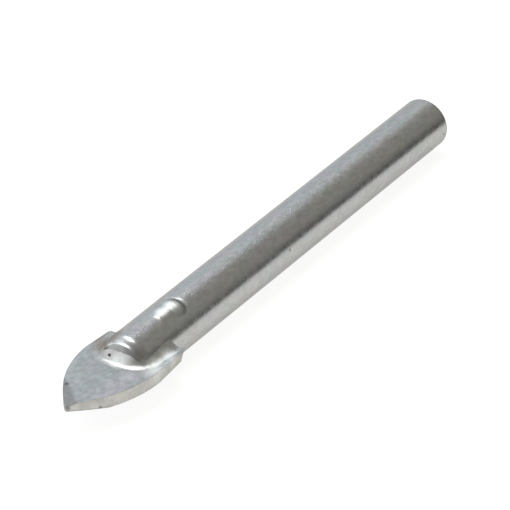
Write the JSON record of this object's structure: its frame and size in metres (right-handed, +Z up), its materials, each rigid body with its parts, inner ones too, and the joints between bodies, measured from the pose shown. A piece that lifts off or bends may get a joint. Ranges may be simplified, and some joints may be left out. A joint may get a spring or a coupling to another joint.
{
  "type": "glass and tile drill bit",
  "caption": "Round-shank drill bit with a flat spear-point carbide tip brazed into its slotted end, for drilling glass and ceramic tile.",
  "frame": {"origin": "centre of the shank's flat rear end face", "axes": "+X along the shank's axis towards the point, +Z up out of the tip's upper face"},
  "size_m": [0.095, 0.012, 0.0083],
  "materials": {
    "steel": "plated, satin, with fine mottling",
    "carbide": "plated and ground, satin",
    "braze": "smooth, bright braze"
  },
  "bodies": {
    "root": {"shank": "steel", "carbide_tip": "carbide", "braze_fillet": "braze"}
  },
  "joints": []
}
